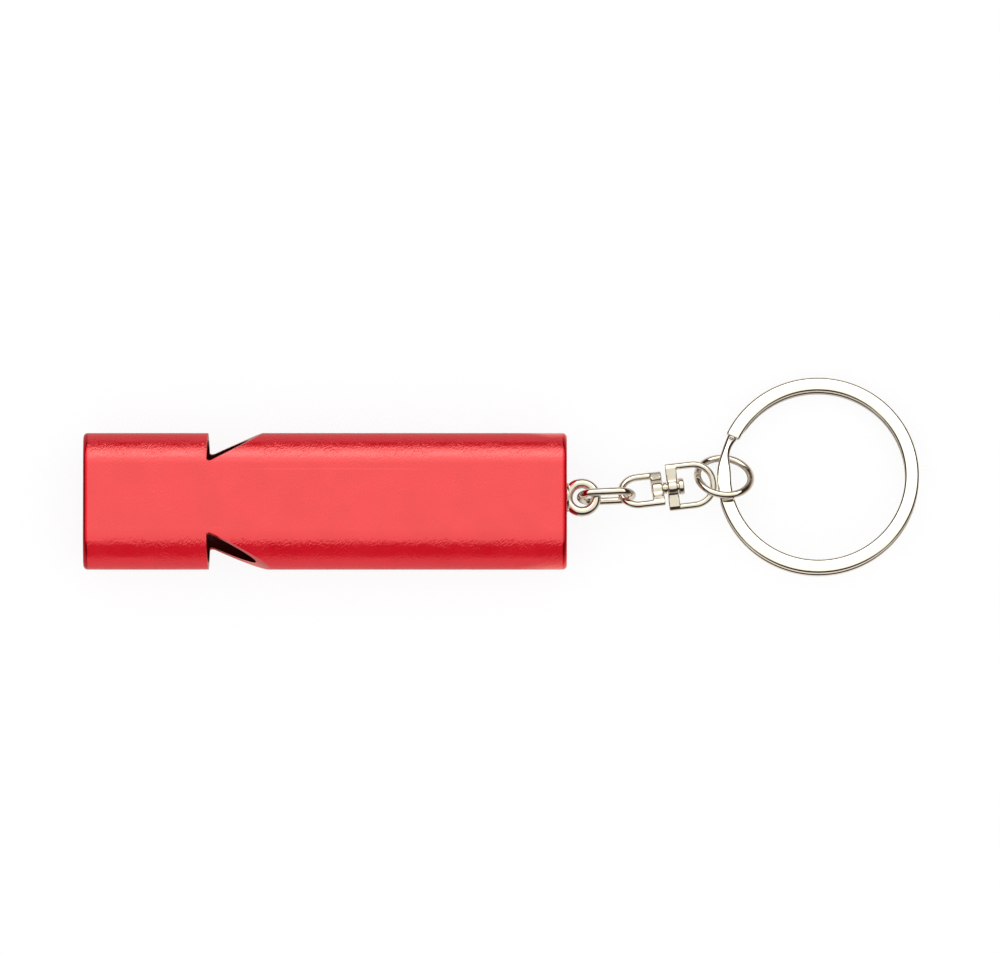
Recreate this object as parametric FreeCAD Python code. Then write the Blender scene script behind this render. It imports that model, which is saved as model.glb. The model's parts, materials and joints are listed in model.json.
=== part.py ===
import FreeCAD, Part
import os
from math import atan2, cos, degrees, pi, radians, sin, tan

# Whistle keychain lying on a table: a red double-tube whistle, an eye screwed into its tail,
# one oval link, a swivel of two riveted loops, a jump ring and a split key ring.
# Millimetres. +X runs along the whistle from the mouth end to the key ring, +Z is up from the
# table, and the origin is on the table below the middle of the whole keychain.

# Whistle body: a flat-oval bar with two blind bores
BODY_LENGTH = 61.3
BODY_WIDTH = 17.4
BODY_THICKNESS = 9.0
BODY_END_ROUND = 0.55
BORE_DIAMETER = 7.2
BORE_SPACING = 8.4
LEFT_BORE_DEPTH = 56.0
RIGHT_BORE_DEPTH = 53.5

# Windows: a V notch in each narrow side, its ramp leaning outwards from the upper face down
WINDOW_DISTANCE = 15.62
WINDOW_WALL_LEAN = 0.41
WINDOW_ROOT_ROUND = 0.35
WINDOW_ROOT_WIDTH = 0.5
WINDOW_ROOT_OFFSET = 4.58
WINDOW_RAMP_ANGLE = 26.0
LEFT_WINDOW_RAMP_LEAN = 13.5
RIGHT_WINDOW_RAMP_LEAN = 6.5

# Windway plugs pressed into the mouth ends of the bores
WINDWAY_HEIGHT = 1.0
PLUG_FIT = 0.02
PLUG_RECESS = 0.3

# Screw eye in the solid tail of the body
EYE_WIRE = 1.25
EYE_HOLE = 2.35
EYE_REACH = 1.9
EYE_SIDE_OFFSET = 0.49
EYE_COLLAR_DIAMETER = 3.7
EYE_COLLAR_THICKNESS = 0.3
EYE_COLLAR_TAPER = 0.1
EYE_SHANK_DIAMETER = 1.6
EYE_SHANK_LENGTH = 4.2
SHANK_FIT = 0.03
SHANK_HOLE_SPARE = 0.3

# Oval link, standing on edge in the eye
LINK_WIRE = 0.96
LINK_STRAIGHT = 3.06
LINK_BOW_RADIUS = 1.73
LINK_YAW = 2.5
LINK_ROLL = 12.5
LINK_CLEARANCE = 0.22
LINK_CONTACT_ANGLE = 56.0
LINK_EYE_ANGLE = 7.0

# Swivel: a small and a large loop, each a wire bow on a drilled bar, joined by a rivet
SMALL_LOOP_WIRE = 0.9
SMALL_LOOP_WIDTH = 5.25
SMALL_LOOP_LENGTH = 5.8
SMALL_BAR_THICKNESS = 1.5
LARGE_LOOP_WIRE = 0.85
LARGE_LOOP_WIDTH = 6.0
LARGE_LOOP_LENGTH = 6.35
LARGE_BAR_THICKNESS = 1.4
BAR_DEPTH = 1.0
BAR_BOSS_DIAMETER = 1.95
BAR_EDGE_ROUND = 0.12
BAR_GAP = 0.5
SWIVEL_YAW = 6.9
SWIVEL_DROP = 1.8
SMALL_LOOP_TURN = 29.0
LARGE_LOOP_TURN = -10.0
SWIVEL_TIP_CLEARANCE = 0.4
SWIVEL_TIP_RISE = -0.3
SWIVEL_TIP_SIDE = 0.45

# Rivet through both bars
RIVET_SHANK_DIAMETER = 1.1
RIVET_FIT = 0.05
RIVET_PRESS_FIT = 0.02
RIVET_COLLAR_DIAMETER = 1.5
RIVET_COLLAR_FIT = 0.06
RIVET_HEAD_DIAMETER = 2.1
RIVET_HEAD_THICKNESS = 0.7
RIVET_HEAD_ROUND = 0.25
RIVET_HEAD_CLEARANCE = 0.05

# Jump ring: one turn of round wire with a closed butt joint
JUMP_WIRE = 0.9
JUMP_MEAN_RADIUS = 3.41
JUMP_YAW = -9.0
JUMP_TILT = 39.5
JUMP_SEAM_GAP = 0.06
JUMP_SEAM_ANGLE = 172.0
JUMP_TIP_ALONG = 1.22
JUMP_TIP_ACROSS = 1.35
JUMP_TIP_LIFT = 0.24

# Split key ring: one flat wire in two turns, with a step between them
RING_DIAMETER = 25.6
RING_WIRE_WIDTH = 1.75
RING_WIRE_THICKNESS = 0.85
RING_TURN_GAP = 0.42
RING_TILT = 6.5
RING_END_ANGLE = 155.0
RING_STEP_ANGLE = 191.0
RING_STEP_SWEEP = 38.0
RING_TAIL_ANGLE = 193.5
RING_NECK_WIDTH = 0.95
RING_NECK_ANGLE = 161.0
RING_NECK_REACH = 18.0
RING_NECK_OUTER_SHARE = 0.2
RING_FORM_SWEEP = 48.0
RING_FORM_POINTS = 13
RING_GAP_STRIDE = 0.5
RING_SIDE_CLEARANCE = 0.05

X_AXIS = FreeCAD.Vector(1, 0, 0)
Y_AXIS = FreeCAD.Vector(0, 1, 0)
Z_AXIS = FreeCAD.Vector(0, 0, 1)
FULL_TURN = 360.0


def turned(vector, axis, angle):
    """A vector turned about an axis by an angle in degrees."""
    return FreeCAD.Rotation(axis, angle).multVec(vector)


def placed(shape, origin, along, across):
    """A shape made at the origin, set down with its own X and Y along two given directions."""
    normal = along.cross(across)
    matrix = FreeCAD.Matrix(
        along.x, across.x, normal.x, origin.x,
        along.y, across.y, normal.y, origin.y,
        along.z, across.z, normal.z, origin.z,
        0, 0, 0, 1,
    )
    copy = shape.copy()
    copy.Placement = FreeCAD.Placement(matrix)
    return copy


def rod(start, end, diameter):
    """A round rod from one point to another."""
    direction = end - start
    return Part.makeCylinder(diameter / 2, direction.Length, start, direction)


def bow(centre, radius, wire, start, direction):
    """Half a turn of round wire about a centre, its start along one direction of the XY plane."""
    ring = Part.makeTorus(radius, wire / 2, centre, Z_AXIS, -180, 180, 180)
    turn = degrees(atan2(start.y, start.x))
    if start.cross(direction).z < 0:
        turn -= 180
    ring.rotate(centre, Z_AXIS, turn)
    return ring


def fused(shapes):
    """Several touching shapes as one clean solid."""
    whole = shapes[0].fuse(shapes[1:]).removeSplitter()
    return whole.Solids[0]


class Layout:
    """Where every piece lies, worked out along the chain from the tail of the whistle."""

    def __init__(self):
        self.lay_eye()
        self.lay_link()
        self.lay_swivel()
        self.lay_jump_ring()
        self.lay_key_ring()
        self.centre_on_origin()

    def lay_eye(self):
        self.tail = FreeCAD.Vector(0, 0, BODY_THICKNESS / 2)
        self.eye = self.tail + FreeCAD.Vector(EYE_REACH, EYE_SIDE_OFFSET, 0)
        self.eye_radius = (EYE_HOLE + EYE_WIRE) / 2
        self.eye_wire = self.eye + turned(X_AXIS, Z_AXIS, LINK_EYE_ANGLE) * self.eye_radius

    def lay_link(self):
        self.link_along = turned(X_AXIS, Z_AXIS, LINK_YAW)
        self.link_up = turned(Z_AXIS, self.link_along, -LINK_ROLL)
        room = LINK_BOW_RADIUS - (LINK_WIRE + EYE_WIRE) / 2 - LINK_CLEARANCE
        contact = radians(LINK_CONTACT_ANGLE)
        near_bow = (self.eye_wire - self.link_along * (room * cos(contact))
                    - self.link_up * (room * sin(contact)))
        self.link = near_bow + self.link_along * (LINK_STRAIGHT / 2)
        self.link_far_bow = self.link + self.link_along * (LINK_STRAIGHT / 2)
        self.link_far_wire = self.link_far_bow + self.link_along * LINK_BOW_RADIUS

    def lay_swivel(self):
        room = LINK_BOW_RADIUS - (LINK_WIRE + SMALL_LOOP_WIRE) / 2 - SWIVEL_TIP_CLEARANCE
        side = self.link_up.cross(self.link_along)
        self.small_tip = (self.link_far_bow + self.link_along * room
                          + self.link_up * SWIVEL_TIP_RISE + side * SWIVEL_TIP_SIDE)
        level = turned(X_AXIS, Z_AXIS, SWIVEL_YAW)
        across = Z_AXIS.cross(level)
        self.swivel_along = turned(level, across, SWIVEL_DROP)
        self.small_across = turned(across, self.swivel_along, -SMALL_LOOP_TURN)
        self.large_across = turned(across, self.swivel_along, -LARGE_LOOP_TURN)
        self.small_reach = SMALL_LOOP_LENGTH - SMALL_LOOP_WIRE / 2
        self.large_reach = LARGE_LOOP_LENGTH - LARGE_LOOP_WIRE / 2
        self.small_face = self.small_tip + self.swivel_along * self.small_reach
        self.large_face = self.small_face + self.swivel_along * BAR_GAP
        self.large_tip = self.large_face + self.swivel_along * self.large_reach

    def lay_jump_ring(self):
        self.jump_along = turned(X_AXIS, Z_AXIS, JUMP_YAW)
        flat_across = turned(self.jump_along, Z_AXIS, -90)
        self.jump_across = turned(flat_across, self.jump_along, -JUMP_TILT)
        self.jump = (self.large_tip + self.jump_along * JUMP_TIP_ALONG
                     - self.jump_across * JUMP_TIP_ACROSS + Z_AXIS * JUMP_TIP_LIFT)

    def lay_key_ring(self):
        self.ring_height = 2 * RING_WIRE_THICKNESS + RING_TURN_GAP
        self.ring_inner = RING_DIAMETER / 2 - RING_WIRE_WIDTH
        self.ring_mean = (RING_DIAMETER - RING_WIRE_WIDTH) / 2
        self.ring_across = turned(Y_AXIS, X_AXIS, -RING_TILT)
        self.ring_normal = X_AXIS.cross(self.ring_across)
        lift = (RING_DIAMETER / 2 * sin(radians(RING_TILT))
                + self.ring_height / 2 * cos(radians(RING_TILT)))
        side = self.large_tip.x + LARGE_LOOP_WIRE / 2 + RING_SIDE_CLEARANCE
        self.ring = FreeCAD.Vector(side + RING_DIAMETER / 2, self.jump.y, lift)
        self.ring_hinge = self.ring - X_AXIS * self.ring_mean

    def centre_on_origin(self):
        left = self.tail.x - BODY_LENGTH
        right = self.ring.x + RING_DIAMETER / 2
        shift = FreeCAD.Vector(-(left + right) / 2, -self.ring.y, 0)
        for name, value in vars(self).items():
            if isinstance(value, FreeCAD.Vector) and not name.endswith(("along", "across", "up", "normal")):
                setattr(self, name, value + shift)


LAYOUT = Layout()


def flat_oval(width, thickness, start_x, end_x, centre):
    """A bar along X with flat top and bottom and fully round sides."""
    radius = thickness / 2
    reach = width / 2 - radius
    upper = FreeCAD.Vector(start_x, reach, radius)
    lower = FreeCAD.Vector(start_x, -reach, -radius)
    top = Part.LineSegment(FreeCAD.Vector(start_x, -reach, radius), upper)
    bottom = Part.LineSegment(lower, FreeCAD.Vector(start_x, reach, -radius))
    left = Part.Arc(upper, FreeCAD.Vector(start_x, width / 2, 0), FreeCAD.Vector(start_x, reach, -radius))
    right = Part.Arc(lower, FreeCAD.Vector(start_x, -width / 2, 0), FreeCAD.Vector(start_x, -reach, radius))
    outline = Part.Wire([edge.toShape() for edge in (top, left, bottom, right)])
    bar = Part.Face(outline).extrude(X_AXIS * (end_x - start_x))
    bar.translate(centre)
    return bar


def end_edges(shape, positions):
    """The edges of a shape that lie wholly in one of the given planes across X."""
    found = []
    for edge in shape.Edges:
        box = edge.BoundBox
        if any(abs(box.XMin - x) < 1e-6 and abs(box.XMax - x) < 1e-6 for x in positions):
            found.append(edge)
    return found


def window_corners(side, height, mouth_x):
    """The corners of the window's V at one height above the body's bottom face."""
    depth_below_top = BODY_THICKNESS - height
    wall_x = mouth_x + WINDOW_DISTANCE + WINDOW_WALL_LEAN * depth_below_top / BODY_THICKNESS
    lean = LEFT_WINDOW_RAMP_LEAN if side > 0 else RIGHT_WINDOW_RAMP_LEAN
    root_y = WINDOW_ROOT_OFFSET + depth_below_top * tan(radians(lean))
    ramp_x = wall_x + WINDOW_ROOT_WIDTH
    outside = BODY_WIDTH
    far_x = ramp_x + (outside - root_y) / tan(radians(WINDOW_RAMP_ANGLE))
    corners = [(wall_x, root_y), (ramp_x, root_y), (far_x, outside), (wall_x, outside)]
    return [FreeCAD.Vector(x, LAYOUT.tail.y + side * y, height) for x, y in corners]


def flat_face(points):
    """A flat face through three or more corners."""
    return Part.Face(Part.makePolygon(points + points[:1]))


def sewn(faces):
    """One solid from the faces that close it."""
    shell = Part.makeShell(faces)
    shell.sewShape()
    return Part.makeSolid(shell)


def window_cut(side):
    """The space of one window, running past the top and bottom faces of the body."""
    spare = BODY_THICKNESS / 10
    mouth_x = LAYOUT.tail.x - BODY_LENGTH
    below = window_corners(side, -spare, mouth_x)
    above = window_corners(side, BODY_THICKNESS + spare, mouth_x)
    count = len(below)
    faces = [flat_face(below), flat_face(above)]
    for index in range(count):
        after = (index + 1) % count
        faces.append(flat_face([below[index], below[after], above[after], above[index]]))
    cut = sewn(faces)
    roots = [edge for edge in cut.Edges if is_root_edge(edge)]
    return cut.makeFillet(WINDOW_ROOT_ROUND, roots)


def is_root_edge(edge):
    """Whether an edge of a window cut runs down its root."""
    box = edge.BoundBox
    reach = max(abs(box.YMin - LAYOUT.tail.y), abs(box.YMax - LAYOUT.tail.y))
    return reach < BODY_WIDTH / 2 and box.ZLength > BODY_THICKNESS


def bore_depths():
    """Each bore's side and its depth from the mouth."""
    return ((1, LEFT_BORE_DEPTH), (-1, RIGHT_BORE_DEPTH))


def bore_axis_point(side):
    """The middle of one bore at the mouth end."""
    mouth_x = LAYOUT.tail.x - BODY_LENGTH
    return FreeCAD.Vector(mouth_x, LAYOUT.tail.y + side * BORE_SPACING / 2, LAYOUT.tail.z)


def whistle_body():
    """The flat-oval body with its bores, windows and tapped tail hole."""
    mouth_x = LAYOUT.tail.x - BODY_LENGTH
    middle = FreeCAD.Vector(0, LAYOUT.tail.y, LAYOUT.tail.z)
    body = flat_oval(BODY_WIDTH, BODY_THICKNESS, mouth_x, LAYOUT.tail.x, middle)
    body = body.makeFillet(BODY_END_ROUND, end_edges(body, (mouth_x, LAYOUT.tail.x)))
    for side, depth in bore_depths():
        body = body.cut(Part.makeCylinder(BORE_DIAMETER / 2, depth, bore_axis_point(side), X_AXIS))
        body = body.cut(window_cut(side))
    hole_start = FreeCAD.Vector(LAYOUT.tail.x, LAYOUT.eye.y, LAYOUT.eye.z)
    hole = Part.makeCylinder(
        EYE_SHANK_DIAMETER / 2 + SHANK_FIT, EYE_SHANK_LENGTH + SHANK_HOLE_SPARE, hole_start, -X_AXIS)
    return body.cut(hole).removeSplitter().Solids[0]


def windway_plug(side):
    """A plug with a flat on its outer side that leaves the windway open."""
    start = bore_axis_point(side) + X_AXIS * PLUG_RECESS
    radius = BORE_DIAMETER / 2 - PLUG_FIT
    length = WINDOW_DISTANCE - PLUG_RECESS
    plug = Part.makeCylinder(radius, length, start, X_AXIS)
    flat = BORE_DIAMETER / 2 - WINDWAY_HEIGHT
    corner_y = start.y + flat if side > 0 else start.y - flat - BORE_DIAMETER
    corner = FreeCAD.Vector(start.x, corner_y, start.z - BORE_DIAMETER)
    return plug.cut(Part.makeBox(length, BORE_DIAMETER, 2 * BORE_DIAMETER, corner)).Solids[0]


def screw_eye():
    """The eye with its collar on the tail face and its shank in the body."""
    tail = FreeCAD.Vector(LAYOUT.tail.x, LAYOUT.eye.y, LAYOUT.eye.z)
    ring = Part.makeTorus(LAYOUT.eye_radius, EYE_WIRE / 2, LAYOUT.eye, Z_AXIS)
    collar = Part.makeCone(
        EYE_COLLAR_DIAMETER / 2, EYE_COLLAR_DIAMETER / 2 - EYE_COLLAR_TAPER,
        EYE_COLLAR_THICKNESS, tail, X_AXIS)
    hole = Part.makeCylinder(EYE_HOLE / 2, BODY_THICKNESS, LAYOUT.eye - Z_AXIS * (BODY_THICKNESS / 2), Z_AXIS)
    shank = Part.makeCylinder(EYE_SHANK_DIAMETER / 2, EYE_SHANK_LENGTH, tail, -X_AXIS)
    inside = Part.makeBox(BODY_LENGTH, BODY_WIDTH, BODY_THICKNESS,
                          FreeCAD.Vector(tail.x - BODY_LENGTH, tail.y - BODY_WIDTH / 2, 0))
    head = ring.fuse(collar.cut(hole)).cut(inside)
    return fused([head, shank])


def oval(straight, radius, wire):
    """A closed oval of round wire in the XY plane, its long sides along X."""
    half = straight / 2
    near = FreeCAD.Vector(-half, 0, 0)
    far = FreeCAD.Vector(half, 0, 0)
    left_bow = bow(near, radius, wire, Y_AXIS, -X_AXIS)
    right_bow = bow(far, radius, wire, -Y_AXIS, X_AXIS)
    sides = [
        rod(FreeCAD.Vector(-half, y, 0), FreeCAD.Vector(half, y, 0), wire)
        for y in (-radius, radius)
    ]
    return fused([left_bow, right_bow] + sides)


def chain_link():
    """The oval link between the eye and the swivel."""
    return placed(oval(LINK_STRAIGHT, LINK_BOW_RADIUS, LINK_WIRE),
                  LAYOUT.link, LAYOUT.link_along, LAYOUT.link_up)


def strand(side, length, wire):
    """A straight of round wire from X = 0, its near end rounded off."""
    straight = rod(FreeCAD.Vector(0, side, 0), FreeCAD.Vector(length, side, 0), wire)
    near_rim = [edge for edge in straight.Edges if edge.Closed and edge.BoundBox.XMax < length / 2]
    return straight.makeFillet(BAR_EDGE_ROUND, near_rim)


def swivel_loop(wire, width, length, bar_thickness, hole_fit):
    """A loop whose bar's outer face is at X = 0 and whose bow reaches along X."""
    radius = (width - wire) / 2
    bow_x = length - wire / 2 - radius
    arc = bow(FreeCAD.Vector(bow_x, 0, 0), radius, wire, -Y_AXIS, X_AXIS)
    strands = [strand(y, bow_x, wire) for y in (-radius, radius)]
    bar = Part.makeBox(bar_thickness, 2 * radius, BAR_DEPTH, FreeCAD.Vector(0, -radius, -BAR_DEPTH / 2))
    bar = bar.makeFillet(BAR_EDGE_ROUND, [edge for edge in bar.Edges if edge.BoundBox.YLength > radius])
    boss = rod(FreeCAD.Vector(), X_AXIS * bar_thickness, BAR_BOSS_DIAMETER)
    boss = boss.makeFillet(BAR_EDGE_ROUND, [edge for edge in boss.Edges if edge.Closed])
    hole = Part.makeCylinder(RIVET_SHANK_DIAMETER / 2 + hole_fit, 3 * bar_thickness,
                             FreeCAD.Vector(-bar_thickness, 0, 0), X_AXIS)
    return fused([arc, bar, boss] + strands).cut(hole).Solids[0]


def swivel_small_loop():
    """The loop on the whistle's side of the swivel."""
    loop = swivel_loop(SMALL_LOOP_WIRE, SMALL_LOOP_WIDTH, SMALL_LOOP_LENGTH, SMALL_BAR_THICKNESS,
                       RIVET_PRESS_FIT)
    return placed(loop, LAYOUT.small_face, -LAYOUT.swivel_along, -LAYOUT.small_across)


def swivel_large_loop():
    """The loop on the key ring's side of the swivel."""
    loop = swivel_loop(LARGE_LOOP_WIRE, LARGE_LOOP_WIDTH, LARGE_LOOP_LENGTH, LARGE_BAR_THICKNESS,
                       RIVET_FIT)
    return placed(loop, LAYOUT.large_face, LAYOUT.swivel_along, LAYOUT.large_across)


def swivel_rivet():
    """The rivet, pressed into the small loop, with a collar and a head either side of the large bar."""
    along = LAYOUT.swivel_along
    flush_end = LAYOUT.small_face - along * SMALL_BAR_THICKNESS
    head_seat = LAYOUT.large_face + along * (LARGE_BAR_THICKNESS + RIVET_HEAD_CLEARANCE)
    shank = rod(flush_end, head_seat, RIVET_SHANK_DIAMETER)
    collar = rod(LAYOUT.small_face + along * RIVET_COLLAR_FIT,
                 LAYOUT.large_face - along * RIVET_COLLAR_FIT, RIVET_COLLAR_DIAMETER)
    return fused([shank, collar, rivet_head(head_seat, along)])


def rivet_head(seat, direction):
    """A flat rivet head with a rounded rim."""
    head = Part.makeCylinder(RIVET_HEAD_DIAMETER / 2, RIVET_HEAD_THICKNESS, seat, direction)
    rim_centre = seat + direction * RIVET_HEAD_THICKNESS
    rims = [
        edge for edge in head.Edges
        if edge.Closed and edge.CenterOfMass.distanceToPoint(rim_centre) < RIVET_HEAD_ROUND / 10
    ]
    return head.makeFillet(RIVET_HEAD_ROUND, rims)


def jump_ring():
    """The round-wire ring with its butt joint."""
    gap = degrees(JUMP_SEAM_GAP / JUMP_MEAN_RADIUS)
    ring = Part.makeTorus(JUMP_MEAN_RADIUS, JUMP_WIRE / 2, FreeCAD.Vector(), Z_AXIS,
                          -180, 180, FULL_TURN - gap)
    ring.rotate(FreeCAD.Vector(), Z_AXIS, JUMP_SEAM_ANGLE + gap / 2)
    return placed(ring, LAYOUT.jump, LAYOUT.jump_along, LAYOUT.jump_across)


def ring_sector(start_angle, end_angle, bottom):
    """A flat stretch of the key ring's wire between two angles."""
    outer = RING_DIAMETER / 2
    sweep = end_angle - start_angle
    bounds = [
        Part.makeCylinder(radius, RING_WIRE_THICKNESS, FreeCAD.Vector(0, 0, bottom), Z_AXIS, sweep)
        for radius in (outer, outer - RING_WIRE_WIDTH)
    ]
    sector = bounds[0].cut(bounds[1])
    sector.rotate(FreeCAD.Vector(), Z_AXIS, start_angle)
    return sector


def eased(share):
    """A share from 0 to 1 eased at both ends."""
    return share * share * (3 - 2 * share)


def step_share(angle):
    """How far an angle lies along the step, from 0 on the upper turn to 1 on the lower one."""
    return min(max((RING_STEP_ANGLE - angle) / RING_STEP_SWEEP, 0), 1)


def neck_depth(angle):
    """How much narrower than the plain wire it is at an angle."""
    share = min(abs(angle - RING_NECK_ANGLE) / RING_NECK_REACH, 1)
    return (RING_WIRE_WIDTH - RING_NECK_WIDTH) * cos(pi / 2 * share) ** 2


def wire_corner(angle, outer_side, upper_side):
    """A corner of the wire's section at an angle counted down along the whole wire."""
    share = step_share(angle)
    neck = neck_depth(angle)
    outer = RING_DIAMETER / 2 - neck * RING_NECK_OUTER_SHARE
    radius = outer if outer_side else outer - RING_WIRE_WIDTH + neck
    pitch = RING_WIRE_THICKNESS + RING_TURN_GAP
    bottom = pitch / 2 - RING_WIRE_THICKNESS / 2 - pitch * eased(share)
    height = bottom + (RING_WIRE_THICKNESS if upper_side else 0)
    return FreeCAD.Vector(radius * cos(radians(angle)), radius * sin(radians(angle)), height)


def step_edge(outer_side, upper_side):
    """One long edge of the formed stretch as a smooth curve."""
    stride = RING_FORM_SWEEP / (RING_FORM_POINTS - 1)
    angles = [RING_STEP_ANGLE - stride * index for index in range(RING_FORM_POINTS)]
    curve = Part.BSplineCurve()
    tangents = [FreeCAD.Vector(sin(radians(angle)), -cos(radians(angle)), 0)
                for angle in (angles[0], angles[-1])]
    curve.interpolate(
        Points=[wire_corner(angle, outer_side, upper_side) for angle in angles],
        InitialTangent=tangents[0], FinalTangent=tangents[1])
    return curve.toShape()


def ring_step():
    """The formed stretch where the wire narrows and steps from the upper turn to the lower one."""
    corners = [(True, True), (False, True), (False, False), (True, False)]
    edges = [step_edge(*corner) for corner in corners]
    faces = [Part.makeRuledSurface(edges[i], edges[(i + 1) % 4]) for i in range(4)]
    for angle in (RING_STEP_ANGLE, RING_STEP_ANGLE - RING_FORM_SWEEP):
        faces.append(flat_face([wire_corner(angle, *corner) for corner in corners]))
    return sewn(faces)


def split_ring():
    """The key ring: the upper turn, the step and the lower turn as one flat wire."""
    pitch = RING_WIRE_THICKNESS + RING_TURN_GAP
    upper_bottom = pitch / 2 - RING_WIRE_THICKNESS / 2
    upper = ring_sector(RING_STEP_ANGLE, RING_END_ANGLE + FULL_TURN, upper_bottom)
    form_end = RING_STEP_ANGLE - RING_FORM_SWEEP
    lower = ring_sector(RING_TAIL_ANGLE, form_end + FULL_TURN, upper_bottom - pitch)
    wire = fused([upper, ring_step(), lower])
    return placed(wire, LAYOUT.ring, X_AXIS, LAYOUT.ring_across)


def least_ring_gap():
    """The least gap between one turn of the key ring's wire and the next, on points."""
    start = RING_END_ANGLE + FULL_TURN
    end = RING_TAIL_ANGLE - FULL_TURN
    count = round((start - end) / RING_GAP_STRIDE)
    sides = [(outer, upper) for outer in (True, False) for upper in (True, False)]
    stations = [start - (start - end) * index / count for index in range(count + 1)]
    corners = [[wire_corner(angle, *side) for side in sides] for angle in stations]
    nearby = round(RING_STEP_SWEEP / 4 / RING_GAP_STRIDE)
    turn = round(FULL_TURN / RING_GAP_STRIDE)
    least = RING_DIAMETER
    for first in range(count + 1 - turn + nearby):
        for second in range(max(first + turn - nearby, 0), min(first + turn + nearby, count) + 1):
            for point in corners[first]:
                least = min([least] + [point.distanceToPoint(other) for other in corners[second]])
    return least


PIECES = {
    "whistle_body": whistle_body,
    "windway_plug_left": lambda: windway_plug(1),
    "windway_plug_right": lambda: windway_plug(-1),
    "screw_eye": screw_eye,
    "chain_link": chain_link,
    "swivel_small_loop": swivel_small_loop,
    "swivel_rivet": swivel_rivet,
    "swivel_large_loop": swivel_large_loop,
    "jump_ring": jump_ring,
    "split_ring": split_ring,
}

os.makedirs("parts", exist_ok=True)
SHAPES = {}
for name, make in PIECES.items():
    SHAPES[name] = make()
    SHAPES[name].exportStep("parts/" + name + ".step")
    box = SHAPES[name].BoundBox
    print(name, "valid" if SHAPES[name].isValid() else "INVALID", round(SHAPES[name].Volume, 2), "mm3",
          [round(v, 2) for v in (box.XMin, box.YMin, box.ZMin, box.XMax, box.YMax, box.ZMax)])
print("key ring: least gap between its turns", round(least_ring_gap(), 3), "mm")
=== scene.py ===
"""Whistle keychain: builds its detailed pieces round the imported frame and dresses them."""
import json
import logging
import math
from dataclasses import dataclass
from enum import Enum
from functools import reduce
from typing import Callable, Iterable, Sequence

import bmesh
import bpy
from bmesh.types import BMEdge, BMesh, BMFace, BMVert
from bpy.types import Material, Node, NodeSocket
from mathutils import Matrix, Vector


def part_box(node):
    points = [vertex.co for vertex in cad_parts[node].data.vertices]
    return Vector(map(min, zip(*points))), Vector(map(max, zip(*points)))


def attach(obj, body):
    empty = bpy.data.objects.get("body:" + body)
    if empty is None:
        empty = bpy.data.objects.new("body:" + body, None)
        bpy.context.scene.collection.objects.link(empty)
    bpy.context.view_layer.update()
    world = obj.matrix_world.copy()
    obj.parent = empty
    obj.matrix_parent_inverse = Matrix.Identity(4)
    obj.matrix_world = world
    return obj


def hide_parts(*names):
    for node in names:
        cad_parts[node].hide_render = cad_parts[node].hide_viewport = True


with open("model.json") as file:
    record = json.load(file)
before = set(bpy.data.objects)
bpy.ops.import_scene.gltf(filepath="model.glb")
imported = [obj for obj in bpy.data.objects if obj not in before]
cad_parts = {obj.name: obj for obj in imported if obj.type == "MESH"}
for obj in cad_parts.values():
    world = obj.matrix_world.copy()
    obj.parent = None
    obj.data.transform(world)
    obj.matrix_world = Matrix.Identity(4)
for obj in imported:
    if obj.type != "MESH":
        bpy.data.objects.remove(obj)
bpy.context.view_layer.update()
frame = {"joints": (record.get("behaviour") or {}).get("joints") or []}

LOG = logging.getLogger("keychain")
MM = 0.001
WELD_MM = 0.001
FLAT_DEGREES = 0.5
X_AXIS = Vector((1, 0, 0))
Y_AXIS = Vector((0, 1, 0))
Z_AXIS = Vector((0, 0, 1))
Pair = tuple[float, float]
Triple = tuple[float, float, float]
JOINTS = {joint["name"]: joint for joint in frame["joints"]}
WIRE_SIDES = 32
BOW_STEPS = 48
LATHE_STEPS = 64


class Slot(Enum):
    """The record's material slots."""

    RED = "red_anodised"
    NICKEL = "nickel"
    STEEL = "steel"


class Body(Enum):
    """The rigid bodies of the frame."""

    WHISTLE = "whistle"
    LINK = "link"
    SMALL_LOOP = "small_loop"
    LARGE_LOOP = "large_loop"
    JUMP_RING = "jump_ring"
    KEY_RING = "key_ring"


class Cut(Enum):
    """How one solid mesh changes another."""

    AWAY = "DIFFERENCE"
    JOIN = "UNION"


class Skin(Enum):
    """The finishes of the whistle's faces, by material index; the bores' dark one is painted shade and the
    rims' pale one a painted highlight.
    """

    BLASTED = 0
    TURNED = 1
    MILLED = 2
    BORED = 3
    RIM = 4


def joint_point(name: str) -> Vector:
    """The place of a joint at rest, in metres."""
    return Vector(JOINTS[name]["pos_m"])


def joint_axis(name: str) -> Vector:
    """The unit axis of a joint."""
    return Vector(JOINTS[name]["axis"]).normalized()


def turned(vector: Vector, axis: Vector, degrees: float) -> Vector:
    """A vector turned about an axis through the origin by the right-hand rule."""
    return Matrix.Rotation(math.radians(degrees), 3, axis) @ vector


def seat(origin: Vector, along: Vector, across: Vector) -> Matrix:
    """Where a piece made in millimetres at the origin is set down.

    Args:
        origin: the place of its origin.
        along: the direction of its X axis.
        across: the direction of its Y axis, roughly.

    Returns:
        The move to the frame's metres.
    """
    along = along.normalized()
    normal = along.cross(across).normalized()
    turn = Matrix((along, normal.cross(along), normal)).transposed().to_4x4()
    return Matrix.Translation(origin) @ turn @ Matrix.Scale(MM, 4)


def open_edges(bm: BMesh) -> list[BMEdge]:
    """The edges of a mesh that bound an opening."""
    return [edge for edge in bm.edges if edge.is_boundary]


def outward(bm: BMesh) -> BMesh:
    """Points every face out of its solid and gives the mesh back."""
    bmesh.ops.recalc_face_normals(bm, faces=bm.faces[:])
    return bm


def shifted(bm: BMesh, move: Sequence[float]) -> BMesh:
    """Moves a whole mesh and gives it back."""
    bmesh.ops.translate(bm, vec=move, verts=bm.verts[:])
    return bm


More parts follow.
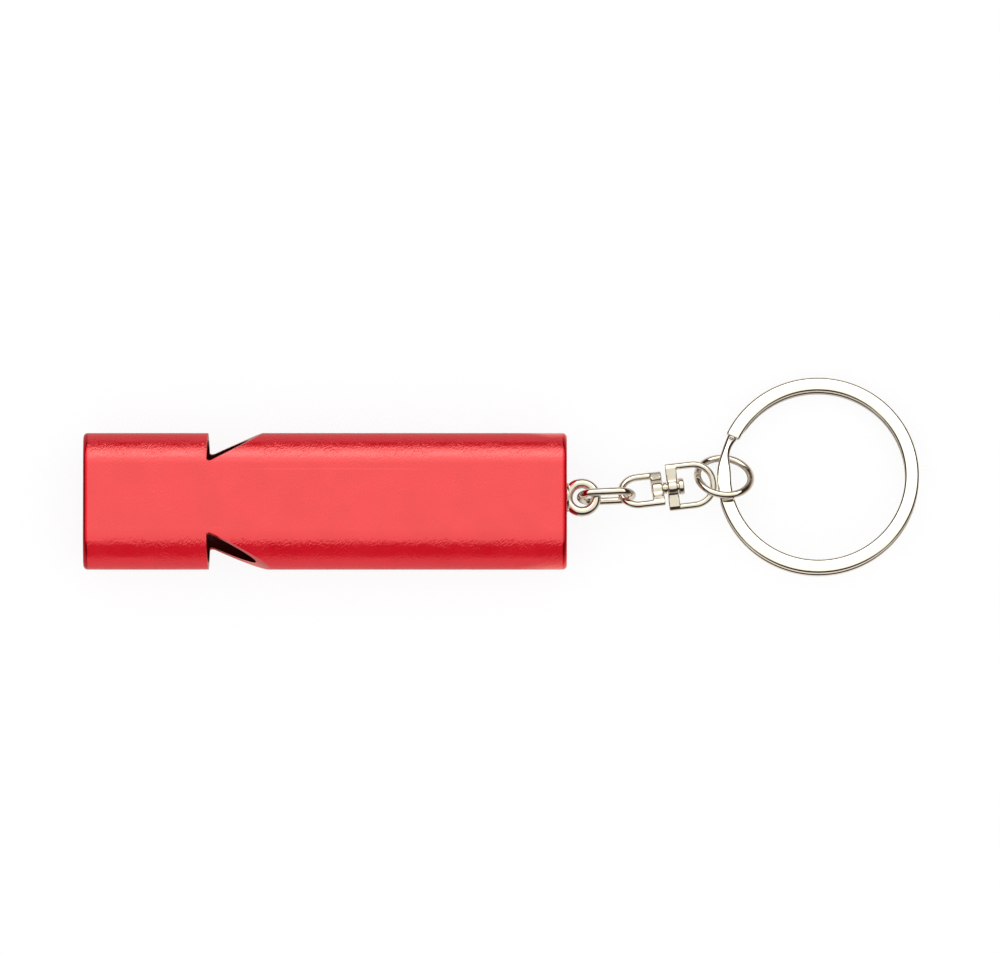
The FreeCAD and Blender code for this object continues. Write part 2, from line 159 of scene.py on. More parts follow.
def soften(bm: BMesh, edges: Iterable[BMEdge], width: float, segments: int,
           slide: bool = False) -> list[BMFace]:
    """Rounds off edges and gives the new faces."""
    return bmesh.ops.bevel(bm, geom=list(edges), offset=width, segments=segments, profile=0.5,
                           affect="EDGES", material=-1, clamp_overlap=True, loop_slide=slide)["faces"]


class Sweep:
    """A section carried along a path, ring by ring, in one bmesh."""

    def __init__(self, section: Sequence[Vector]) -> None:
        """Starts the sweep.

        Args:
            section: the corners of the section, in order.
        """
        self.bm = bmesh.new()
        self.corner = self.bm.verts.layers.int.new("corner")
        self.verts = [self.bm.verts.new(point) for point in section]
        for index, vert in enumerate(self.verts):
            vert[self.corner] = index
        following = self.verts[1:] + self.verts[:1]
        self.edges = [self.bm.edges.new(pair) for pair in zip(self.verts, following)]

    def step(self, matrix: Matrix) -> None:
        """Extrudes the open ring and moves the new one.

        Args:
            matrix: the move from the old ring to the new one.
        """
        made = bmesh.ops.extrude_edge_only(self.bm, edges=self.edges)
        self.verts = [item for item in made["geom"] if isinstance(item, BMVert)]
        self.bm.edges.index_update()
        fresh = set(self.verts)
        found = {edge for vert in fresh for edge in vert.link_edges if edge.other_vert(vert) in fresh}
        self.edges = sorted(found, key=lambda edge: edge.index)
        bmesh.ops.transform(self.bm, matrix=matrix, verts=self.verts)

    def reshape(self, section: Sequence[Vector]) -> None:
        """Extrudes the open ring and gives the new one its own corners.

        Args:
            section: the new ring's corners, in the first ring's order.
        """
        self.step(Matrix())
        for vert in self.verts:
            vert.co = section[vert[self.corner]]

    def straight(self, move: Vector, parts: int = 1) -> None:
        """Runs the section straight on in equal stretches."""
        for _ in range(parts):
            self.step(Matrix.Translation(move / parts))

    def bend(self, centre: Vector, axis: Vector, degrees: float, steps: int) -> None:
        """Carries the section round an axis.

        Args:
            centre: a point on the axis.
            axis: its direction.
            degrees: the whole turn by the right-hand rule.
            steps: how many stretches it has.
        """
        made = bmesh.ops.spin(
            self.bm, geom=self.verts + self.edges, cent=centre, axis=axis, dvec=(0, 0, 0),
            angle=math.radians(degrees), steps=steps, use_duplicate=False)
        self.verts = [item for item in made["geom_last"] if isinstance(item, BMVert)]
        self.edges = [item for item in made["geom_last"] if isinstance(item, BMEdge)]

    def close(self) -> BMesh:
        """Joins the last ring to the first one.

        Returns:
            The closed mesh.
        """
        self.bm.verts.layers.int.remove(self.corner)
        bmesh.ops.remove_doubles(self.bm, verts=self.bm.verts[:], dist=WELD_MM)
        return outward(self.bm)

    def cap(self, rounding: float, segments: int = 3) -> BMesh:
        """Closes both ends with faces whose rims are rounded.

        Args:
            rounding: the size of the round, in the sweep's units.
            segments: its number of stretches.

        Returns:
            The closed mesh.
        """
        self.bm.verts.layers.int.remove(self.corner)
        rims = open_edges(self.bm)
        bmesh.ops.holes_fill(self.bm, edges=rims, sides=0)
        outward(self.bm)
        if rounding:
            soften(self.bm, rims, rounding, segments)
        return self.bm


def wire_section(wire: float, centre: Vector) -> list[Vector]:
    """The corners of a round wire's section, for a path that starts along X."""
    angles = [2 * math.pi * index / WIRE_SIDES for index in range(WIRE_SIDES)]
    return [Vector((0, wire / 2 * math.cos(angle), wire / 2 * math.sin(angle))) + centre for angle in angles]


def rod(start: float, end: float, radius: float) -> list[Pair]:
    """The lathe's profile of a plain rod along X."""
    return [(start, 0), (start, radius), (end, radius), (end, 0)]


def lathe(profile: Sequence[Pair], steps: int) -> BMesh:
    """A solid turned about X from (x, radius) corners that start and end on the axis.

    Args:
        profile: the corners.
        steps: the number of stretches round the axis.

    Returns:
        The closed mesh.
    """
    bm = bmesh.new()
    verts = [bm.verts.new((x, radius, 0)) for x, radius in profile]
    edges = [bm.edges.new(pair) for pair in zip(verts, verts[1:])]
    bmesh.ops.spin(bm, geom=verts + edges, cent=(0, 0, 0), axis=X_AXIS, dvec=(0, 0, 0),
                   angle=2 * math.pi, steps=steps, use_merge=True, use_duplicate=False)
    bmesh.ops.remove_doubles(bm, verts=bm.verts[:], dist=WELD_MM)
    return outward(bm)


def rounded(corners: Sequence[Pair], radius: float, segments: int) -> list[Pair]:
    """An open outline with its inner corners rounded by circular arcs.

    Args:
        corners: the outline's corners.
        radius: the distance from each corner at which its arc starts.
        segments: the stretches of each arc.

    Returns:
        The outline's points.
    """
    points = [Vector(corners[0])]
    for before, corner, after in zip(corners, corners[1:], corners[2:]):
        here = Vector(corner)
        back = (Vector(before) - here).normalized()
        onward = (Vector(after) - here).normalized()
        pull = (back - onward).length / 2
        for index in range(segments + 1):
            share = index / segments
            near, middle, far = (1 - share) ** 2, 2 * pull * share * (1 - share), share ** 2
            points.append(here + (back * near + onward * far) * radius / (near + middle + far))
    points.append(Vector(corners[-1]))
    return [(point.x, point.y) for point in points]


def block(size: Vector, centre: Vector, rounding: float) -> BMesh:
    """A box with every edge rounded.

    Args:
        size: its sides.
        centre: its middle.
        rounding: the size of the rounds.

    Returns:
        The closed mesh.
    """
    bm = bmesh.new()
    bmesh.ops.create_cube(bm, size=1)
    bmesh.ops.scale(bm, vec=size, verts=bm.verts[:])
    shifted(bm, centre)
    if rounding:
        soften(bm, bm.edges, rounding, segments=3)
    return bm


def stood_up(bm: BMesh, name: str) -> bpy.types.Object:
    """Turns a bmesh into an object in the scene and frees it.

    Args:
        bm: the bmesh.
        name: the object's name and its mesh's.

    Returns:
        The new object.
    """
    mesh = bpy.data.meshes.new(name)
    bm.to_mesh(mesh)
    bm.free()
    made = bpy.data.objects.new(name, mesh)
    bpy.context.scene.collection.objects.link(made)
    return made


def evaluated(whole: bpy.types.Object, *tools: bpy.types.Object) -> BMesh:
    """Takes what an object's modifiers make of it, and removes the object.

    Args:
        whole: the object.
        tools: the objects its modifiers use, which are removed too.

    Returns:
        The new solid.
    """
    graph = bpy.context.evaluated_depsgraph_get()
    result = bmesh.new()
    result.from_mesh(whole.evaluated_get(graph).to_mesh())
    for made in (whole, *tools):
        mesh = made.data
        bpy.data.objects.remove(made)
        bpy.data.meshes.remove(mesh)
    return result


def combined(base: BMesh, others: Sequence[BMesh], cut: Cut) -> BMesh:
    """Cuts solids away from a solid, or joins them to it.

    Args:
        base: the solid that is changed.
        others: the solids that change it.
        cut: whether they are cut away or joined.

    Returns:
        The new solid.
    """
    whole = stood_up(base, "whole")
    tools = [stood_up(other, "tool") for other in others]
    for index, tool in enumerate(tools):
        change = whole.modifiers.new("change%d" % index, "BOOLEAN")
        change.operation = cut.value
        change.solver = "EXACT"
        change.object = tool
    result = evaluated(whole, *tools)
    bmesh.ops.remove_doubles(result, verts=result.verts[:], dist=WELD_MM / 2)
    bmesh.ops.dissolve_limit(result, angle_limit=math.radians(FLAT_DEGREES), use_dissolve_boundaries=False,
                             verts=result.verts[:], edges=result.edges[:])
    return result


def cast(bm: BMesh, grid: float, passes: int, soft: Callable[[Vector], bool],
         soft_passes: int) -> BMesh:
    """Gives a solid the soft corners and hollows of a casting.

    Args:
        bm: the solid.
        grid: the size of the new mesh's squares.
        passes: how often it is smoothed.
        soft: says whether a point lies where it is smoothed further.
        soft_passes: how often it is smoothed there.

    Returns:
        The new solid.
    """
    whole = stood_up(bm, "whole")
    change = whole.modifiers.new("even_grid", "REMESH")
    change.mode = "VOXEL"
    change.voxel_size = grid
    result = evaluated(whole)
    softer = [vert for vert in result.verts if soft(vert.co)]
    for verts, count in ((result.verts[:], passes), (softer, soft_passes)):
        for _ in range(count):
            bmesh.ops.smooth_vert(result, verts=verts, factor=0.5, use_axis_x=True, use_axis_y=True,
                                  use_axis_z=True)
    return result


def creases(bm: BMesh, degrees: float, test: Callable[[Vector], bool]) -> list[BMEdge]:
    """The edges in one region whose faces meet at more than an angle."""
    region = [edge for edge in bm.edges if edge.is_manifold and all(test(vert.co) for vert in edge.verts)]
    return [edge for edge in region if edge.calc_face_angle(0) > math.radians(degrees)]


class Canvas:
    """Adds nodes to one node tree in few words."""

    def __init__(self, tree: bpy.types.NodeTree) -> None:
        """Empties the tree of a material or a world."""
        self.tree = tree
        tree.nodes.clear()

    def add(self, kind: str, settings: dict | None = None, **inputs: object) -> Node:
        """Adds one node.

        Args:
            kind: the node's type.
            settings: its properties.
            inputs: its inputs by name, with spaces as underscores: a value, or a socket to link.

        Returns:
            The node.
        """
        node = self.tree.nodes.new(kind)
        for key, value in (settings or {}).items():
            setattr(node, key, value)
        return self.feed(node, {key.replace("_", " "): value for key, value in inputs.items()})

    def feed(self, node: Node, values: dict[int | str, object]) -> Node:
        """Fills a node's inputs.

        Args:
            node: the node.
            values: the inputs by place or name: a value, or a socket to link.

        Returns:
            The node.
        """
        for key, value in values.items():
            if isinstance(value, NodeSocket):
                self.tree.links.new(value, node.inputs[key])
            else:
                node.inputs[key].default_value = value
        return node

    def ramp(self, factor: NodeSocket, stops: Sequence[tuple[float, tuple]]) -> NodeSocket:
        """A colour ramp.

        Args:
            factor: the socket that drives it.
            stops: its places and colours.

        Returns:
            The colour socket.
        """
        node = self.add("ShaderNodeValToRGB", Fac=factor)
        elements = node.color_ramp.elements
        while len(elements) < len(stops):
            elements.new(1)
        for element, (place, colour) in zip(elements, stops):
            element.position = place
            element.color = (*colour, 1)
        return node.outputs["Color"]

    def noise(self, where: NodeSocket, size: float, detail: float) -> NodeSocket:
        """Even noise with a grain in metres and a number of finer layers."""
        return self.add("ShaderNodeTexNoise", Vector=where, Scale=1 / size, Detail=detail).outputs["Fac"]

    def spread(self, value: NodeSocket, low: float, high: float, start: float = 0.3,
               end: float = 0.7) -> NodeSocket:
        """Runs from low to high while a value runs from start to end."""
        return self.add("ShaderNodeMapRange", Value=value, From_Min=start, From_Max=end,
                        To_Min=low, To_Max=high).outputs["Result"]

    def mix(self, share: object, first: object, second: object, blend: str = "MIX") -> NodeSocket:
        """Mixes two colours by the second one's share."""
        node = self.add("ShaderNodeMix", {"data_type": "RGBA", "blend_type": blend})
        return self.feed(node, {0: share, 6: first, 7: second}).outputs[2]

    def blend(self, share: NodeSocket, first: NodeSocket, second: NodeSocket) -> NodeSocket:
        """Mixes two shaders by the second one's share."""
        return self.feed(self.add("ShaderNodeMixShader"), {0: share, 1: first, 2: second}).outputs[0]

    def calculate(self, operation: str, *values: object) -> NodeSocket:
        """Does one sum on values or sockets."""
        node = self.add("ShaderNodeMath", {"operation": operation})
        return self.feed(node, dict(enumerate(values))).outputs[0]

    def product(self, *shares: NodeSocket) -> NodeSocket:
        """Multiplies values."""
        return reduce(lambda whole, share: self.calculate("MULTIPLY", whole, share), shares)

    def bump(self, height: NodeSocket, depth: float, **others: object) -> NodeSocket:
        """Makes a relief of a depth in metres."""
        return self.add("ShaderNodeBump", Height=height, Distance=depth, **others).outputs["Normal"]

    def coat(self, **inputs: object) -> None:
        """Ends a material with its surface's shader."""
        shader = self.add("ShaderNodeBsdfPrincipled", **inputs)
        self.add("ShaderNodeOutputMaterial", Surface=shader.outputs["BSDF"])

    def place(self, stretch: Triple = (1, 1, 1), turn: float = 0) -> NodeSocket:
        """Object coordinates, turned about Z and then stretched.

        Args:
            stretch: the scale along each axis.
            turn: the turn in degrees.

        Returns:
            The vector socket.
        """
        where = self.add("ShaderNodeTexCoord").outputs["Object"]
        if turn:
            angles = (0, 0, math.radians(turn))
            where = self.add("ShaderNodeMapping", Vector=where, Rotation=angles).outputs["Vector"]
        return self.add("ShaderNodeMapping", Vector=where, Scale=stretch).outputs["Vector"]


def new_material(name: str) -> tuple[Material, Canvas]:
    """An empty node material.

    Args:
        name: its name.

    Returns:
        The material and its canvas.
    """
    material = bpy.data.materials.new(name)
    material.use_nodes = True
    return material, Canvas(material.node_tree)


@dataclass(frozen=True)
class AnodisedRed:
    """Anodised aluminium: blasted, turned, milled or bored before the dye, with a painted highlight line
    along its upper face; a dark copy of it in the bores is painted shade and a pale one on the window rims a
    painted highlight.
    """

    name: str = "blasted_red"
    deep: Triple = (0.8, 0.003, 0.017)
    light: Triple = (0.86, 0.005, 0.023)
    metallic: float = 0.3
    ior: float = 2.08
    roughness: float = 0.12
    uneven: float = 0.02
    cloud: float = 0.004
    patch: float = 0.003
    patch_relief: Pair = (0.4, 1)
    grain: float = 0.00017
    grain_depth: float = 0.00008
    flat_grain: float = 0.45
    flat_height: Pair = (0.0088, 0.00899)
    # Where the painted highlight line lies on the upper face, and its tone.
    line_y: float = 0.00012
    line_half: float = 0.0001
    line_x: Pair = (-0.033, -0.009)
    line_fade: float = 0.004
    line_height: Pair = (0.0088, 0.0089)
    line_share: float = 0.7
    line_highlight_tone: Triple = (0.88, 0.05, 0.055)
    stretch: Triple = (0.4, 1, 0.7)
    turn: float = -55.0

    def material(self) -> Material:
        """Builds the material.

        Returns:
            The material.
        """
        material, canvas = new_material(self.name)
        cloud = canvas.noise(canvas.place(), self.cloud, 3)
        patches = canvas.spread(canvas.noise(canvas.place(), self.patch, 2), *self.patch_relief, 0.4, 0.6)
        grain = canvas.noise(canvas.place(self.stretch, self.turn), self.grain, 1)
        colour = canvas.mix(canvas.spread(cloud, 0, 1), (*self.deep, 1), (*self.light, 1))
        # Paints the faint highlight line into the colour.
        colour = canvas.mix(self.painted_highlight_line(canvas), colour, (*self.line_highlight_tone, 1))
        rough = canvas.spread(cloud, self.roughness - self.uneven, self.roughness + self.uneven)
        height = canvas.add("ShaderNodeSeparateXYZ", Vector=canvas.place()).outputs["Z"]
        relief = canvas.product(patches, canvas.spread(height, 1, self.flat_grain, *self.flat_height))
        canvas.coat(Base_Color=colour, Metallic=self.metallic, IOR=self.ior, Roughness=rough,
                    Normal=canvas.bump(grain, self.grain_depth, Strength=relief))
        return material

    def painted_highlight_line(self, canvas: Canvas) -> NodeSocket:
        """A painted highlight: a faint lighter line along the upper face, fading at both ends.

        Args:
            canvas: the material's canvas.

        Returns:
            The share of the painted highlight's tone.
        """
        where = canvas.add("ShaderNodeSeparateXYZ", Vector=canvas.place()).outputs
        start, end = self.line_x
        return canvas.product(
            canvas.spread(where["Y"], 0, 1, self.line_y - self.line_half, self.line_y),
            canvas.spread(where["Y"], 1, 0, self.line_y, self.line_y + self.line_half),
            canvas.spread(where["X"], 0, 1, start, start + self.line_fade),
            canvas.spread(where["X"], 1, 0, end - self.line_fade, end),
            canvas.spread(where["Z"], 0, self.line_share, *self.line_height))


@dataclass(frozen=True)
class Plating:
    """Bright nickel plate over drawn or stamped metal."""

    name: str = "nickel_plate"
    tint: Triple = (0.82, 0.78, 0.73)
    dull: Triple = (0.7, 0.65, 0.58)
    roughness: float = 0.04
    uneven: Pair = (-0.02, 0.03)
    cloud: float = 0.0025
    cloud_share: float = 0.6
    ripple: float = 0.0009
    ripple_depth: float = 0.00003
    scratch: float = 0.00008
    scratch_depth: float = 0.0000006
    scratch_stretch: Triple = (0.15, 1, 1)

    def material(self) -> Material:
        """Builds the material.

        Returns:
            The material.
        """
        material, canvas = new_material(self.name)
        where = canvas.place()
        cloud = canvas.noise(where, self.cloud, 3)
        ripple = canvas.noise(where, self.ripple, 1)
        scratch = canvas.noise(canvas.place(self.scratch_stretch), self.scratch, 2)
        colour = canvas.mix(canvas.spread(cloud, 0, self.cloud_share), (*self.tint, 1), (*self.dull, 1))
        rough = canvas.spread(scratch, *(self.roughness + part for part in self.uneven))
        wave = canvas.bump(ripple, self.ripple_depth, Strength=1.0)
        fine = canvas.bump(scratch, self.scratch_depth, Strength=1.0, Normal=wave)
        canvas.coat(Base_Color=colour, Metallic=1.0, Roughness=rough, Normal=fine)
        return material


@dataclass(frozen=True)
class Piece:
    """One finished piece and how it sits in the frame."""

    name: str
    body: Body
    slot: Slot
    replaces: tuple[str, ...]

    def set_down(self, bm: BMesh, place: Matrix, materials: Iterable[Material],
                 sharp: float = 35) -> None:
        """Turns a bmesh in millimetres into the finished object.

        Args:
            bm: the piece's bmesh, made at the origin.
            place: where it goes.
            materials: its materials, in the order of its faces' indices.
            sharp: the angle past which an edge stays sharp.
        """
        bmesh.ops.transform(bm, matrix=place, verts=bm.verts[:])
        loose = sum(not edge.is_manifold for edge in bm.edges)
        made = stood_up(bm, self.name)
        mesh = made.data
        mesh.shade_smooth()
        mesh.set_sharp_from_angle(angle=math.radians(sharp))
        for material in materials:
            mesh.materials.append(material)
        made.modifiers.new("even_normals", "WEIGHTED_NORMAL").keep_sharp = True
        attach(made, self.body.value)
        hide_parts(*self.replaces)
        LOG.info("%s: %d faces, %d open edges", self.name, len(mesh.polygons), loose)


@dataclass
class Whistle:
    """The flat-oval body with its bores, windows and windway plugs."""

    finishes: dict[Skin, Material]
    end_round: float = 0.55
    bore_diameter: float = 7.2
    bore_spacing: float = 8.4
    bore_depths: Pair = (56.0, 53.5)
    window_distance: float = 15.62
    window_lean: float = 0.41
    root_offset: float = 4.58
    root_width: float = 0.5
    root_round: float = 0.21
    ramp_angle: float = 26.0
    left_ramp_lean: float = 13.5
    right_ramp_lean: float = 6.5
    deburr: float = 0.13
    bore_deburr: float = 0.1
    mouth_deburr: float = 0.18
    eye_hole_diameter: float = 1.66
    eye_hole_depth: float = 4.5
    eye_side: float = 0.49
    windway: float = 1.0
    plug_fit: float = 0.02
    plug_recess: float = 0.3
    plug_round: float = 0.15
    spare: float = 1.0
    on_skin: float = 0.02
    on_wall: float = 0.03
    window_before: float = 1.0
    window_after: float = 13.0
    window_within: float = 0.6
    least_crease: float = 25.0
    side_steps: int = 40
    bore_steps: int = 96
    hole_steps: int = 32

    def __post_init__(self) -> None:
        """Reads the body's box from the frame."""
        low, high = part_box("whistle_body")
        self.length = (high.x - low.x) / MM
        self.width = (high.y - low.y) / MM
        self.thickness = (high.z - low.z) / MM
        middle = (low + high) / 2
        self.place = seat(Vector((low.x, middle.y, low.z)), X_AXIS, Y_AXIS)

    def outline(self) -> BMesh:
        """The bare flat-oval bar with rounded ends.

        Returns:
            The closed mesh.
        """
        radius = self.thickness / 2
        reach = self.width / 2 - radius
        corners = []
        for side in (1, -1):
            for index in range(self.side_steps + 1):
                angle = math.pi * index / self.side_steps
                corners.append(Vector((0, side * (reach + radius * math.sin(angle)),
                                       radius + side * radius * math.cos(angle))))
        bar = Sweep(corners)
        bar.straight(X_AXIS * self.length)
        return bar.cap(self.end_round, segments=6)

    def bore(self, side: int, depth: float) -> BMesh:
        """The space of one bore: side 1 is the left one, and it runs out past the mouth."""
        bm = lathe(rod(-self.spare, depth, self.bore_diameter / 2), self.bore_steps)
        return shifted(bm, (0, side * self.bore_spacing / 2, self.thickness / 2))

    def window(self, side: int) -> BMesh:
        """The space of one window: a leaning V with a rounded root.

        Args:
            side: 1 for the left window and -1 for the right one.

        Returns:
            The closed mesh.
        """
        lean = self.left_ramp_lean if side > 0 else self.right_ramp_lean
        rings = []
        for height in (-self.spare, self.thickness + self.spare):
            below_top = self.thickness - height
            wall = self.window_distance + self.window_lean * below_top / self.thickness
            root = self.root_offset + below_top * math.tan(math.radians(lean))
            ramp = wall + self.root_width
            far = ramp + (self.width - root) / math.tan(math.radians(self.ramp_angle))
            corners = [(wall, root), (ramp, root), (far, self.width), (wall, self.width)]
            rings.append([Vector((x, side * y, height)) for x, y in corners])
        space = Sweep(rings[0])
        space.reshape(rings[1])
        bm = space.cap(0)
        roots = [edge for edge in bm.edges if edge.calc_length() > self.thickness
                 and all(abs(vert.co.y) < self.width / 2 for vert in edge.verts)]
        soften(bm, roots, self.root_round, segments=5)
        return bm

    def eye_hole(self) -> BMesh:
        """The space of the screw eye's hole in the tail."""
        ends = (self.length - self.eye_hole_depth, self.length + self.spare)
        return shifted(lathe(rod(*ends, self.eye_hole_diameter / 2), self.hole_steps),
                       (0, self.eye_side, self.thickness / 2))

    def off_bore(self, point: Vector) -> float:
        """How far a point lies outside the nearer bore's wall."""
        aside = abs(point.y) - self.bore_spacing / 2
        return math.hypot(aside, point.z - self.thickness / 2) - self.bore_diameter / 2

    def off_skin(self, point: Vector) -> float:
        """How far a point lies inside the bar's long outer face."""
        aside = max(abs(point.y) - self.width / 2 + self.thickness / 2, 0)
        return self.thickness / 2 - math.hypot(aside, point.z - self.thickness / 2)

    def near_window(self, point: Vector) -> bool:
        """Whether a point lies on a window's rim or inside it."""
        along = point.x - self.window_distance
        return (-self.window_before < along < self.window_after
                and abs(point.y) > self.root_offset - self.window_within)

    def on_outer_rim(self, point: Vector) -> bool:
        """Whether a point lies where a window meets the bar's outer face."""
        return self.near_window(point) and self.off_skin(point) < self.on_skin

    def on_inner_rim(self, point: Vector) -> bool:
        """Whether a point lies where a window meets a bore."""
        return self.near_window(point) and abs(self.off_bore(point)) < self.on_wall

    def at_mouth(self, point: Vector) -> bool:
        """Whether a point lies on a bore's rim at the mouth."""
        return abs(point.x) < self.on_skin and abs(self.off_bore(point)) < self.on_wall

    def skin(self, face: BMFace) -> Skin:
        """How one face of the body was cut.

        Args:
            face: the face.

        Returns:
            Its finish.
        """
        centre = face.calc_center_median()
        # Faces in the bores get the dark finish, a painted shade.
        if max(abs(self.off_bore(vert.co)) for vert in face.verts) < self.on_wall:
            return Skin.BORED
        if centre.x < self.end_round or centre.x > self.length - self.end_round:
            return Skin.TURNED
        if max(self.off_skin(vert.co) for vert in face.verts) < self.on_wall:
            return Skin.BLASTED
        return Skin.MILLED if self.near_window(centre) else Skin.BORED

    def build_body(self) -> BMesh:
        """The body with its bores, windows and hole, its rims deburred.

        Returns:
            The closed mesh.
        """
        cuts = [self.eye_hole()]
        for side, depth in zip((1, -1), self.bore_depths):
            cuts.append(self.bore(side, depth))
            cuts.append(self.window(side))
        bm = combined(self.outline(), cuts, Cut.AWAY)
        for face in bm.faces:
            face.material_index = self.skin(face).value
        # Where a window meets a bore, the rounds get the pale finish, a painted highlight.
        for test, width, finish in ((self.at_mouth, self.mouth_deburr, Skin.TURNED),
                                    (self.on_inner_rim, self.bore_deburr, Skin.RIM),
                                    (self.on_outer_rim, self.deburr, Skin.TURNED)):
            for face in soften(bm, creases(bm, self.least_crease, test), width, segments=3, slide=True):
                face.material_index = finish.value
        return bm

    def build_plug(self, side: int) -> BMesh:
        """One windway plug, with its flat on the outer side.

        Args:
            side: 1 for the left plug and -1 for the right one.

        Returns:
            The closed mesh.
        """
        radius = self.bore_diameter / 2 - self.plug_fit
        length = self.window_distance - self.plug_recess
        bm = lathe(rounded(rod(0, length, radius), self.plug_round, segments=2), self.bore_steps)
        flat = self.bore_diameter / 2 - self.windway
        bmesh.ops.bisect_plane(bm, geom=bm.verts[:] + bm.edges[:] + bm.faces[:],
                               plane_co=(0, side * flat, 0), plane_no=(0, side, 0), clear_outer=True)
        bmesh.ops.holes_fill(bm, edges=open_edges(bm), sides=0)
        return shifted(outward(bm), (self.plug_recess, side * self.bore_spacing / 2, self.thickness / 2))

    def dress(self) -> None:
        """Sets down the body and both plugs."""
        Piece("whistle_shell", Body.WHISTLE, Slot.RED, ("whistle_body",)).set_down(
            self.build_body(), self.place, [self.finishes[skin] for skin in Skin], sharp=30)
        for side, word in ((1, "left"), (-1, "right")):
            Piece("plug_" + word, Body.WHISTLE, Slot.RED, ("windway_plug_" + word,)).set_down(
                self.build_plug(side), self.place, (self.finishes[Skin.TURNED],))


@dataclass
class ScrewEye:
    """The eye, its collar and the shank in the body."""

    plate: Material
    wire: float = 1.25
    hole: float = 2.35
    reach: float = 1.9
    link_angle: float = 7.0
    collar_diameter: float = 3.7
    collar_thickness: float = 0.3
    collar_taper: float = 0.1
    collar_round: float = 0.1
    collar_start: float = 0.01
    collar_flat: float = 0.4
    shank_diameter: float = 1.6
    shank_length: float = 4.2
    shank_round: float = 0.2
    shank_flat: float = 0.3
    beyond: Triple = (1, 6, 4)
    turn_steps: int = 96

    def build(self) -> BMesh:
        """The eye about its own middle.

        Returns:
            The closed mesh.
        """
        radius = (self.hole + self.wire) / 2
        ring = Sweep(wire_section(self.wire, Vector((0, radius, 0))))
        ring.bend(Vector(), Z_AXIS, 360, self.turn_steps)
        beyond = block(Vector(self.beyond), Vector((-self.reach - self.beyond[0] / 2, 0, 0)), 0)
        eye = combined(ring.close(), [beyond], Cut.AWAY)
        base = self.collar_diameter / 2
        top = base - self.collar_taper
        shank = self.shank_diameter / 2
        foot, start, end = -self.shank_length, self.collar_start, self.collar_thickness
        collar = lathe(
            [(foot, 0)]
            + rounded([(foot, self.shank_flat), (foot, shank), (0, shank)], self.shank_round, segments=3)
            + rounded([(start, shank), (start, base), (end, top), (end, self.collar_flat)],
                      self.collar_round, segments=4)
            + [(end, 0)], LATHE_STEPS)
        return combined(eye, [shifted(collar, (-self.reach, 0, 0))], Cut.JOIN)

    def dress(self) -> None:
        """Sets the eye down where the link grips it."""
        radius = (self.hole + self.wire) / 2 * MM
        grip = joint_point("link_swing")
        centre = grip - turned(X_AXIS, Z_AXIS, self.link_angle) * radius
        Piece("eye_ring", Body.WHISTLE, Slot.NICKEL, ("screw_eye",)).set_down(
            self.build(), seat(centre, X_AXIS, Y_AXIS), (self.plate,), sharp=40)


@dataclass
class OvalLink:
    """The oval link between the eye and the swivel."""

    plate: Material
    wire: float = 0.96
    straight: float = 3.06
    bow_radius: float = 1.73
    yaw: float = 2.5

    def build(self) -> BMesh:
        """The link about its own middle, long side along X.

        Returns:
            The closed mesh.
        """
        half = self.straight / 2
        wire = Sweep(wire_section(self.wire, Vector((-half, -self.bow_radius, 0))))
        for centre, run in ((half, 1), (-half, -1)):
            wire.straight(X_AXIS * self.straight * run, 4)
            wire.bend(Vector((centre, 0, 0)), Z_AXIS, 180, BOW_STEPS)
        return wire.close()

    def dress(self) -> None:
        """Sets the link down, its far bow where the swivel hangs."""
        along = turned(X_AXIS, Z_AXIS, self.yaw)
        rise = joint_axis("swivel_swing")
        centre = joint_point("swivel_swing") - along * (self.bow_radius + self.straight / 2) * MM
        Piece("oval_link", Body.LINK, Slot.NICKEL, ("chain_link",)).set_down(
            self.build(), seat(centre, along, rise), (self.plate,))


@dataclass
class SwivelLoop:
    """One loop of the swivel: a wire bow on a drilled bar."""

    wire: float
    width: float
    length: float
    bar_thickness: float
    bar_depth: float = 1.0
    boss_diameter: float = 1.95
    edge_round: float = 0.12
    hole_diameter: float = 1.2
    cast_grid: float = 0.05
    cast_passes: int = 6
    boss_passes: int = 60
    boss_round: float = 0.3
    boss_reach: Pair = (1.15, 0.8)
    drill_spare: float = 1.0
    drill_steps: int = 48

    def build(self) -> BMesh:
        """The loop with its bar's outer face at X = 0 and its bow reaching along X.

        Returns:
            The closed mesh.
        """
        radius = (self.width - self.wire) / 2
        bow_x = self.length - self.wire / 2 - radius
        wire = Sweep(wire_section(self.wire, Vector((0, -radius, 0))))
        wire.straight(X_AXIS * bow_x, 4)
        wire.bend(Vector((bow_x, 0, 0)), Z_AXIS, 180, BOW_STEPS)
        wire.straight(-X_AXIS * bow_x, 4)
        bow = wire.cap(self.edge_round)
        bar = block(Vector((self.bar_thickness, 2 * radius, self.bar_depth)),
                    Vector((self.bar_thickness / 2, 0, 0)), self.edge_round)
        boss = rounded(rod(0, self.bar_thickness, self.boss_diameter / 2), self.boss_round, segments=6)
        drill = rod(-self.drill_spare, self.bar_thickness + self.drill_spare, self.hole_diameter / 2)
        loop = combined(bow, [bar, lathe(boss, LATHE_STEPS)], Cut.JOIN)
        whole = combined(loop, [lathe(drill, self.drill_steps)], Cut.AWAY)
        return cast(whole, self.cast_grid, self.cast_passes, self.near_boss, self.boss_passes)

    def near_boss(self, point: Vector) -> bool:
        """Whether a point lies where the bar swells round its rivet."""
        deep, wide = self.boss_reach
        return point.x < self.bar_thickness * deep and abs(point.y) < self.boss_diameter * wide


